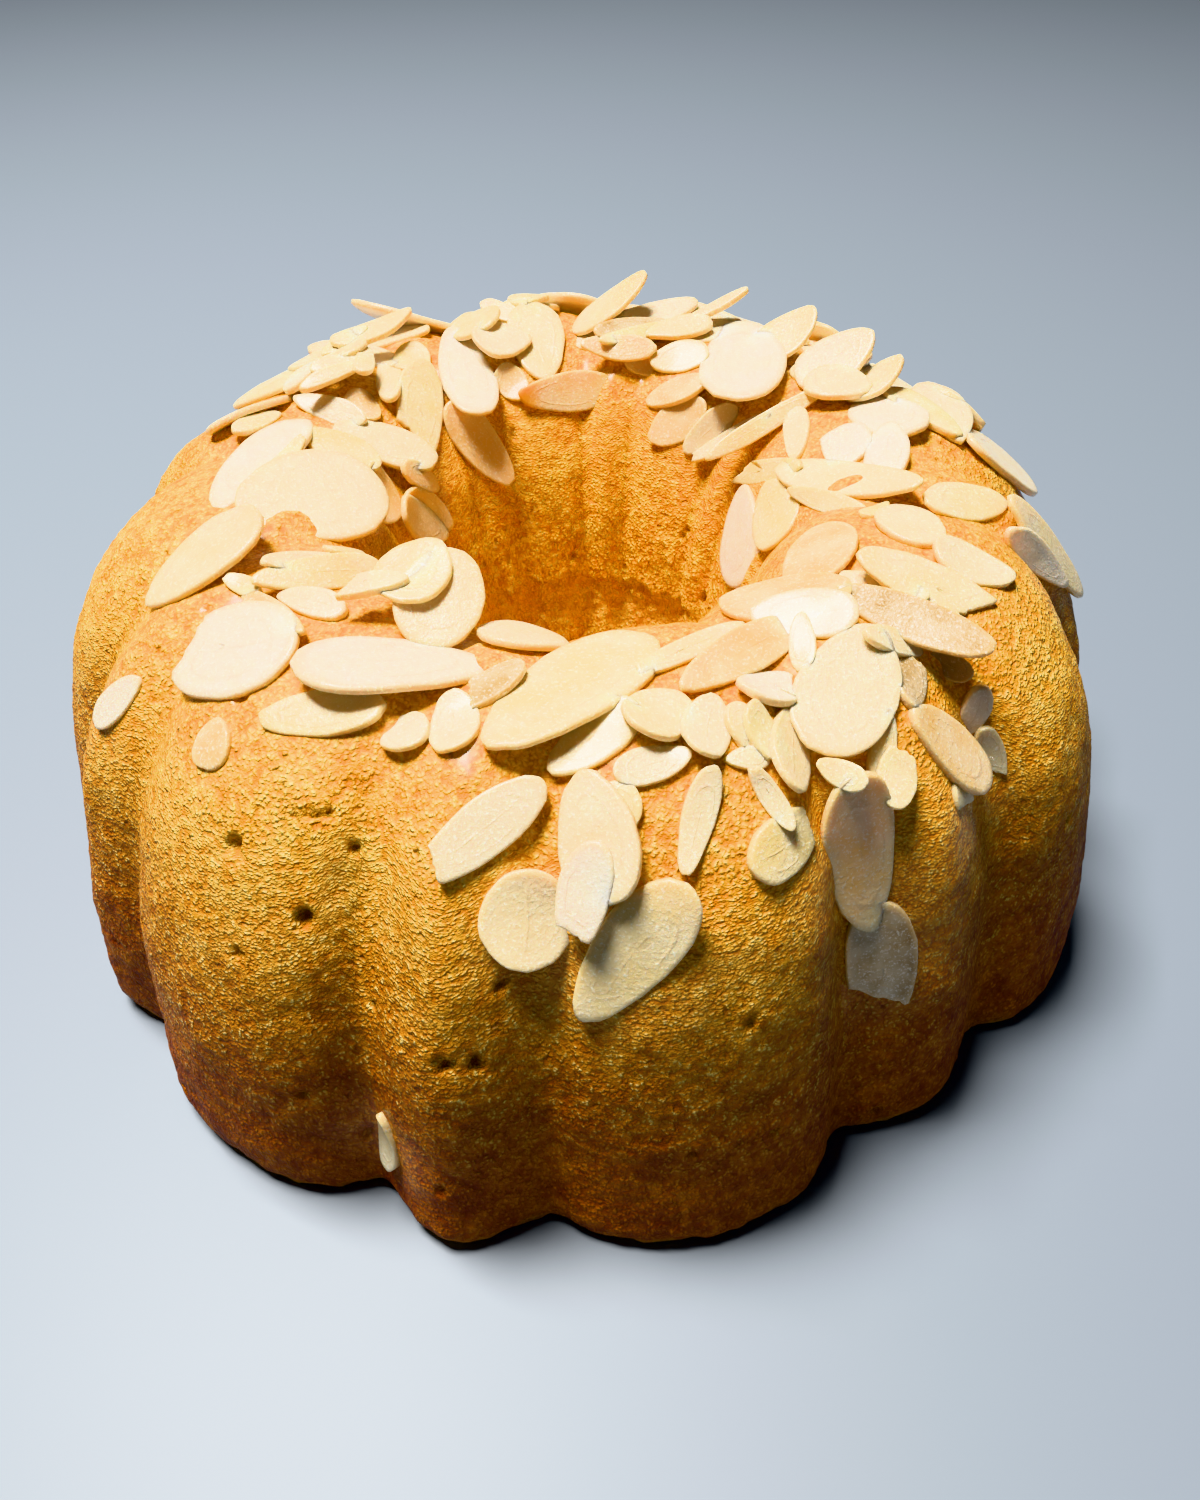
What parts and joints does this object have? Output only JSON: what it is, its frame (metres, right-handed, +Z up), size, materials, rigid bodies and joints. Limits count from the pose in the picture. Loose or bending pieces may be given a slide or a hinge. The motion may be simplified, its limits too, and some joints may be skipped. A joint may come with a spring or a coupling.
{
  "type": "bundt cake",
  "caption": "Small fluted ring cake turned out of its tin, with a tapering hole through its middle and flaked almonds stuck over the rounded top.",
  "frame": {"origin": "middle of the flat underside, on the axis of the hole, at the height the cake rests on", "axes": "+Z up along the hole, -Y the side with the hanging flakes"},
  "size_m": [0.157, 0.1562, 0.0717],
  "materials": {
    "sponge": "fine open golden crumb, browner down the walls, with a thin syrup sheen on top",
    "almond": "pale cream flakes, slightly see-through, with a wet glint"
  },
  "bodies": {
    "root": {"cake": "sponge"}
  },
  "joints": []
}
